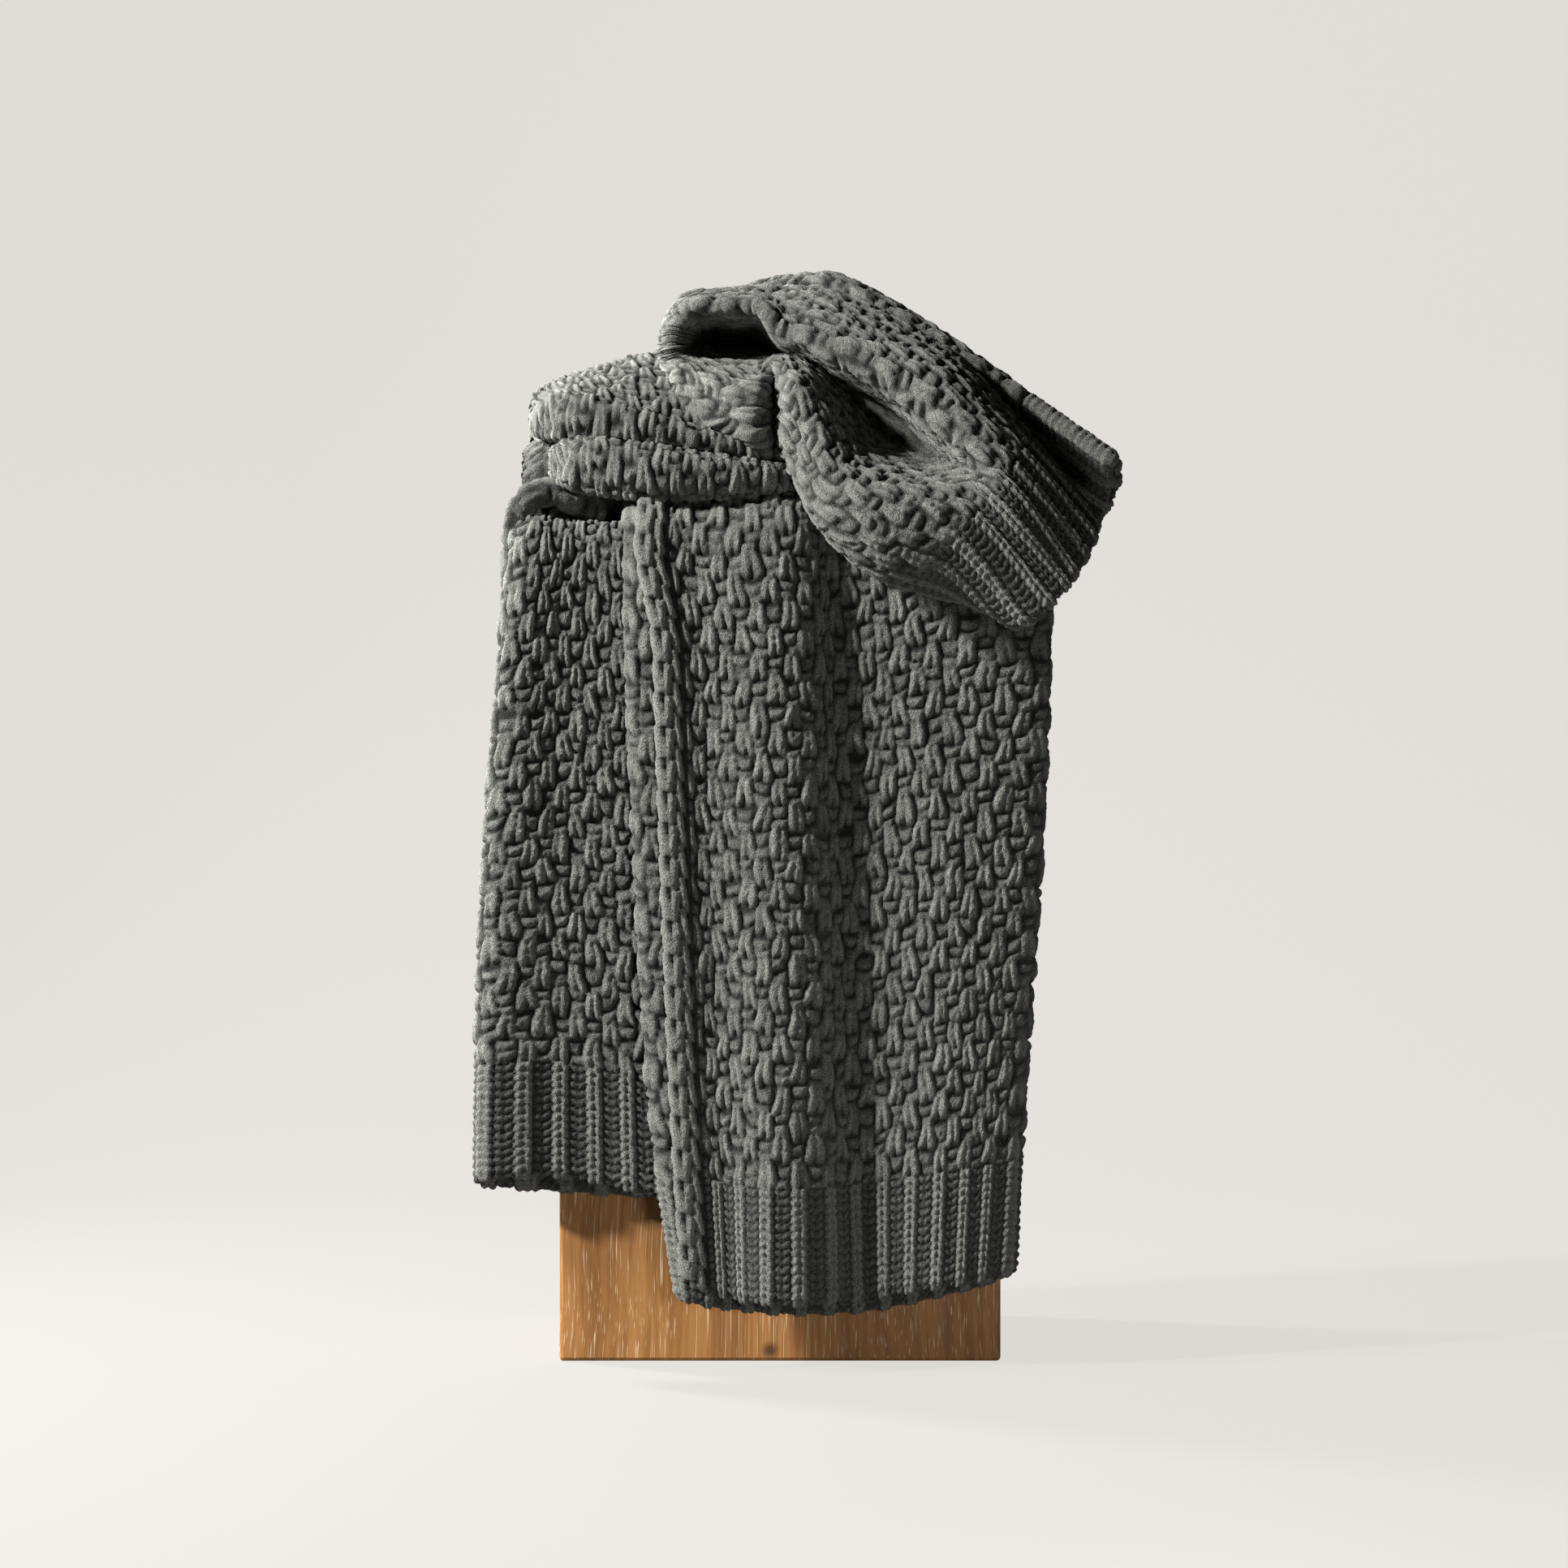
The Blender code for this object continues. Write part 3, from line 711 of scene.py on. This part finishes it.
# %% Sections of the far end
END_SECTIONS = (
    (
        (838, 420, -110), (832, 404, -104), (824, 402, -88), (820, 412, -80), (820, 428, -74),
        (822, 446, -68), (827, 464, -58), (834, 480, -62), (842, 450, -100), (844, 424, -125),
        (834, 402, -120), (842, 424, -150), (846, 540, -160),
    ),
    (
        (850, 405, -98), (840, 382, -86), (832, 386, -56), (831, 400, -38), (832, 424, -36),
        (832, 448, -30), (836, 470, -16), (842, 496, -22), (850, 462, -92), (854, 406, -140),
        (846, 382, -128), (852, 400, -178), (854, 550, -205),
    ),
    (
        (860, 386, -100), (850, 368, -80), (850, 374, -40), (862, 381, -30), (872, 418, -150),
        (858, 456, -20), (856, 484, 6), (858, 514, 2), (860, 480, -90), (864, 400, -160),
        (862, 372, -140), (862, 392, -200), (860, 560, -235),
    ),
    (
        (915, 388, -105), (908, 362, -85), (910, 372, -35), (914, 380, -18), (922, 420, -160),
        (905, 466, 6), (902, 496, 36), (908, 534, 30), (920, 505, -90), (918, 400, -160),
        (915, 363, -140), (915, 390, -210), (915, 600, -250),
    ),
    (
        (938, 386, -102), (936, 360, -82), (938, 376, -28), (940, 384, -8), (948, 422, -150),
        (936, 470, 18), (932, 500, 44), (936, 542, 38), (942, 505, -90), (944, 400, -160),
        (942, 358, -140), (942, 388, -212), (942, ON_TOP, -252),
    ),
    (
        (962, 384, -100), (956, 358, -80), (960, 388, -18), (962, 410, 4), (974, 438, -100),
        (956, 452, -12), (954, 488, -12), (958, 532, -20), (966, 515, -85), (966, 400, -160),
        (965, 354, -140), (965, 385, -215), (965, ON_TOP, -255),
    ),
    (
        (990, 386, -95), (985, 360, -72), (990, 392, -2), (994, 422, 20), (1012, 448, -100),
        (982, 466, 48), (973, 504, 66), (970, 552, 54), (982, 548, -40), (998, 425, -140),
        (1000, 350, -132), (1000, 386, -210), (998, ON_TOP, -254),
    ),
    (
        (1030, 388, -90), (1025, 364, -60), (1026, 402, 15), (1026, 440, 34), (1050, 474, -100),
        (1006, 500, 66), (992, 536, 90), (984, 572, 76), (990, 574, 0), (1035, 450, -120),
        (1040, 356, -120), (1042, 392, -205), (1035, ON_TOP, -252),
    ),
    (
        (1105, 412, -70), (1098, 396, -40), (1094, 432, 44), (1088, 470, 58), (1116, 528, -95),
        (1044, 568, 106), (1022, 604, 142), (1014, 640, 116), (1034, 638, 40), (1100, 520, -70),
        (1116, 396, -95), (1120, 438, -190), (1100, ON_TOP, -245),
    ),
    (
        (1194, 468, -50), (1180, 450, -10), (1166, 472, 74), (1146, 512, 90), (1152, 560, -5),
        (1106, 600, 140), (1090, 645, 166), (1082, 696, 128), (1106, 694, 50), (1188, 560, -75),
        (1200, 450, -50), (1206, 492, -155), (1180, ON_TOP, -190),
    ),
    (
        (1276, 560, 5), (1266, 546, 45), (1254, 560, 95), (1234, 578, 132), (1220, 602, 150),
        (1202, 630, 162), (1183, 670, 166), (1174, 718, 128), (1196, 722, 66), (1268, 580, -80),
        (1284, 506, -30), (1294, 552, -118), (1270, 668, -94),
    ),
    (
        (1344, 636, 44), (1347, 645, 74), (1343, 663, 108), (1331, 688, 134), (1315, 712, 149),
        (1296, 735, 155), (1274, 757, 147), (1251, 766, 118), (1280, 742, 74), (1354, 632, -40),
        (1368, 564, 0), (1370, 602, -72), (1322, 690, -44),
    ),
)
INNER, CREST, HOLLOW, LIP, UNDER, BEHIND, FOOT = 0, 2, 4, 5, 8, 10, 12
far_end = np.array([[place(*p) for p in section] for section in END_SECTIONS])[::-1]
last_section = len(far_end) - 1
knitted(
    "sleeve_front", far_end, (0, last_section), (INNER, UNDER), (0, -1, 0.3),
    step=(1.8, 2.3), rims=("start_row",), reference=((INNER, CREST), (HOLLOW, LIP)),
    material=YARN,
)
knitted(
    "sleeve_back", far_end, (0, last_section), (UNDER, FOOT), (0, 1, 1),
    step=(1.9, 2.5), rims=("start_row",), reference=((UNDER, BEHIND),), first=(2, 0), material=YARN,
)

# %% [markdown]
# ## The loop on the left and the wad inside
#
# Behind the left panel a rolled edge of the cloth stands up and curls back down. It is swept
# as part of a tube along its middle line. The rest of the blanket is wadded up inside the
# bunch and only shows as dark cloth through the gaps, so it is one rounded stretch of knit.

# %% Loop and wad
LOOP_RADIUS = 9 * MM
LOOP = (
    (742, 634, -28), (705, 616, -16), (676, 606, -8), (651, 614, -6), (638, 642, -8),
    (634, 700, -12), (636, 780, -18), (640, 850, -22),
)
WAD = (
    (648, 560, -40, -120), (664, 548, -30, -140), (720, 505, -28, -190),
    (800, 478, -22, -228), (950, 455, -20, -236), (1060, 450, -20, -234),
    (1160, 500, -6, -190), (1215, 560, -2, -120),
)
LOOP_TURN = 130
LOOP_SPOKES = 9
WAD_TURN = (-80, 200)
WAD_SPOKES = 11
FORWARD = np.array([0, -1.0, 0])


def tube(middle, radius, turn, count):
    """Part of a round tube along a line, as far round to each side from its front as turn."""
    along = np.gradient(middle, axis=0)
    along /= np.linalg.norm(along, axis=1, keepdims=True)
    front = FORWARD - along * (along @ FORWARD)[:, None]
    front /= np.linalg.norm(front, axis=1, keepdims=True)
    outside = np.cross(front, along)
    angles = np.radians(np.linspace(-turn, turn, count))[None, :, None]
    spokes = front[:, None] * np.cos(angles) + outside[:, None] * np.sin(angles)
    return middle[:, None] + radius * spokes


loop_line = np.array([place(*p) for p in LOOP])
loop = tube(loop_line, LOOP_RADIUS, LOOP_TURN, LOOP_SPOKES)
knitted(
    "left_loop", loop, (0, len(LOOP) - 1), (0, LOOP_SPOKES - 1), (0, -1, 0),
    first=(0, RIB_ROWS), scale=0.8, material=YARN,
)

wad = []
for x, top_y, front, back in WAD:
    ring = []
    for angle in np.radians(np.linspace(*WAD_TURN, WAD_SPOKES)):
        out = (front + back) / 2 + (front - back) / 2 * math.cos(angle)
        point = place(x, top_y, out)
        low_z, high_z = place(x, ON_TOP, out)[2], point[2]
        point[2] = (low_z + high_z) / 2 + (high_z - low_z) / 2 * math.sin(angle)
        ring.append(point)
    wad.append(ring)
knitted(
    "inner_wad", np.array(wad), (0, len(WAD) - 1), (0, WAD_SPOKES - 1), (0, -1, 1),
    step=(3.5, 4.5), first=(0, RIB_ROWS), scale=0.7, material=YARN,
)

# %% [markdown]
# ## Wood
#
# The plinth is solid honey brown wood with an upright grain that was limed and wiped off, so
# thin pale lines stay in the open pores. There is one small dark knot at the foot. The packed
# model's own plinth is kept and only gets this finish.

# %% Wood material
KNOT = (-0.0108, -0.18, 0.0122)
KNOT_COLOUR = (0.045, 0.018, 0.008, 1)
LIME_COLOUR = (0.86, 0.66, 0.44, 1)
WOOD_DARK = (0.34, 0.150, 0.046)
WOOD_MIDDLE = (0.50, 0.235, 0.074)
WOOD_PALE = (0.62, 0.325, 0.120)


def wood_group():
    tree, _, leave = group(
        "limed wood", [], [("Color", "Color"), ("Height", "Float"), ("Roughness", "Float")]
    )
    where = node(tree, "TexCoord")
    wander = node(tree, "TexNoise", in_Scale=3.0, in_Detail=2, in_Roughness=0.5)
    tree.links.new(where.outputs["Object"], wander.inputs["Vector"])
    bent = node(tree, "VectorMath", operation="MULTIPLY_ADD")
    bent.inputs[1].default_value = (0.03, 0.03, 0.0)
    tree.links.new(wander.outputs["Color"], bent.inputs[0])
    tree.links.new(where.outputs["Object"], bent.inputs[2])
    looks = {}
    for name, stretch, scale, detail in (
        ("board", (1, 1, 0.12), 9, 3),
        ("grain", (1, 1, 0.04), 120, 6),
        ("pores", (1, 1, 0.009), 740, 1),
    ):
        long = node(tree, "VectorMath", operation="MULTIPLY")
        long.inputs[1].default_value = stretch
        tree.links.new(bent.outputs[0], long.inputs[0])
        noise = node(tree, "TexNoise", in_Scale=scale, in_Detail=detail, in_Roughness=0.6)
        tree.links.new(long.outputs[0], noise.inputs["Vector"])
        looks[name] = noise.outputs["Fac"]
    base = ramp(tree, looks["board"], [
        (0.30, WOOD_DARK), (0.52, WOOD_MIDDLE), (0.75, WOOD_PALE),
    ])
    grain = ramp(tree, looks["grain"], [(0.38, (0.70, 0.65, 0.60)), (0.58, (1.0, 1.0, 1.0))])
    colour = mix(tree, "MULTIPLY", 1.0, base, grain)
    lime = ramp(tree, looks["pores"], [(0.62, (0.0, 0.0, 0.0)), (0.70, (0.85, 0.85, 0.85))])
    limed = mix(tree, "MIX", lime, colour, LIME_COLOUR)
    near = node(tree, "VectorMath", operation="DISTANCE")
    near.inputs[1].default_value = KNOT
    tree.links.new(where.outputs["Object"], near.inputs[0])
    dark = ramp(tree, near.outputs["Value"], [(0.003, (0.85,) * 3), (0.011, (0.0,) * 3)])
    tree.links.new(mix(tree, "MIX", dark, limed, KNOT_COLOUR), leave.inputs["Color"])
    tree.links.new(looks["pores"], leave.inputs["Height"])
    rough = node(tree, "MapRange", in_To_Min=0.42, in_To_Max=0.62)
    tree.links.new(looks["grain"], rough.inputs["Value"])
    tree.links.new(rough.outputs[0], leave.inputs["Roughness"])
    return tree


def wood_material():
    material = bpy.data.materials.new("limed wood")
    material.use_nodes = True
    tree = material.node_tree
    shader = tree.nodes["Principled BSDF"]
    holder = place_group(tree, wood_group())
    shader.inputs["Specular IOR Level"].default_value = 0.3
    tree.links.new(holder.outputs["Color"], shader.inputs["Base Color"])
    tree.links.new(holder.outputs["Roughness"], shader.inputs["Roughness"])
    bump = node(tree, "Bump", in_Strength=0.25, in_Distance=0.0008)
    tree.links.new(holder.outputs["Height"], bump.inputs["Height"])
    tree.links.new(bump.outputs["Normal"], shader.inputs["Normal"])
    return material


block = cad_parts["block"]
block.data.materials.clear()
block.data.materials.append(wood_material())

# %% [markdown]
# ## The pieces on the body
#
# Every stretch of cloth rides on the one body and stands in for the imported throw, which is hidden.

triangles = 0
for piece, flat in pieces:
    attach(piece, "root")
    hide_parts("throw")
    triangles += 2 * len(piece.data.polygons)
print("cloth triangles", triangles)

# %% [markdown]
# ## Studio
#
# The picture is a plain product shot on a pale warm sweep. A hard key comes from far away on
# the left and a softer one from near by. A low light from behind on the left draws the rims of
# the folds, and a small one low in front lifts the foot. The paper glows for the camera and
# hardly at all for the cloth, so it stays even and throws little light into the dark folds.

# %% Floor and backdrop
PAPER = (0.705, 0.687, 0.655, 1)
BOUNCE = (0.015, 0.0145, 0.014, 1)
PAPER_BASE = (0.02, 0.0195, 0.019, 1)
SWEEP_REACH = 9
SWEEP_START = 1.2
SWEEP_BEND = 1.5
SWEEP_TOP = 7


def sweep():
    """A floor that curves up into a back wall."""
    bm = bmesh.new()
    profile = [(-SWEEP_REACH, 0), (SWEEP_START, 0)]
    for angle in np.linspace(0, math.pi / 2, 13)[1:]:
        back = SWEEP_START + SWEEP_BEND * math.sin(angle)
        profile.append((back, SWEEP_BEND - SWEEP_BEND * math.cos(angle)))
    profile.append((SWEEP_START + SWEEP_BEND, SWEEP_TOP))
    sides = (-SWEEP_REACH, SWEEP_REACH)
    lines = [[bm.verts.new((x, y, z)) for x in sides] for y, z in profile]
    for (a, b), (c, d) in zip(lines, lines[1:]):
        bm.faces.new((a, b, d, c))
    mesh = bpy.data.meshes.new("studio_sweep")
    bm.to_mesh(mesh)
    bm.free()
    mesh.shade_smooth()
    obj = bpy.data.objects.new("studio_sweep", mesh)
    bpy.context.scene.collection.objects.link(obj)
    material = bpy.data.materials.new("studio paper")
    material.use_nodes = True
    tree = material.node_tree
    shader = tree.nodes["Principled BSDF"]
    shader.inputs["Base Color"].default_value = PAPER_BASE
    shader.inputs["Roughness"].default_value = 0.9
    seen = node(tree, "LightPath")
    glow = mix(tree, "MIX", seen.outputs["Is Camera Ray"], BOUNCE, PAPER)
    tree.links.new(glow, shader.inputs["Emission Color"])
    shader.inputs["Emission Strength"].default_value = 1.0
    mesh.materials.append(material)
    return obj


sweep()


# %% Lights
SUN_TOWARD = (0.79, 0.33, -0.50)
SUN_POWER = 5.0
SUN_ANGLE = 4
SKY = (1.0, 0.985, 0.965, 1)
SKY_POWER = 0.02
LAMPS = (
    ("key_near", (-1.75, -0.75, 1.8), (0.0, -0.15, 0.7), 0.45, 55, (1.0, 0.985, 0.96)),
    ("rim", (-1.7, 0.75, 1.62), (0.0, -0.05, 1.15), 0.3, 120, (1.0, 0.99, 0.97)),
    ("foot", (0.35, -1.6, 0.22), (0.05, -0.18, 0.05), 0.3, 4.2, (1.0, 0.97, 0.93)),
)


def hang(name, light, toward):
    """A light in the scene that looks along a direction."""
    obj = bpy.data.objects.new(name, light)
    obj.rotation_euler = Vector(toward).to_track_quat("-Z", "Y").to_euler()
    bpy.context.scene.collection.objects.link(obj)
    return obj


def lamp(name, at, target, size, power, colour):
    """A round lamp at a place, turned to a target."""
    light = bpy.data.lights.new(name, "AREA")
    light.shape = "DISK"
    light.size = size
    light.energy = power
    light.color = colour
    toward = (np.array(target, float) - np.array(at, float)).tolist()
    hang(name, light, toward).location = at


sun = bpy.data.lights.new("key_far", "SUN")
sun.energy = SUN_POWER
sun.angle = math.radians(SUN_ANGLE)
sun.color = (1.0, 0.98, 0.95)
hang("key_far", sun, SUN_TOWARD)
for row in LAMPS:
    lamp(*row)
world = bpy.data.worlds.new("studio")
world.use_nodes = True
world.node_tree.nodes["Background"].inputs["Color"].default_value = SKY
world.node_tree.nodes["Background"].inputs["Strength"].default_value = SKY_POWER
bpy.context.scene.world = world
bpy.context.scene.view_settings.view_transform = "Standard"
print("lights", "key_far", *[row[0] for row in LAMPS])

# %% [markdown]
# ## Camera
#
# The eye is level and straight in front, at the distance that the table of places counts with,
# so every fold lands where it was read off.

# %% Camera
lens = bpy.data.cameras.new("camera")
lens.lens = 85
lens.sensor_width = 36
lens.clip_end = 30
camera = bpy.data.objects.new("camera", lens)
camera.location = (EYE_X, FACE_Y - VIEW_DISTANCE, EYE_Z)
camera.rotation_euler = (math.pi / 2, 0, 0)
bpy.context.scene.collection.objects.link(camera)
bpy.context.scene.camera = camera
print("camera at", np.round(camera.location, 3), "m")

# %% Finish
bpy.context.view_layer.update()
print("seconds", round(time.time() - started, 1))
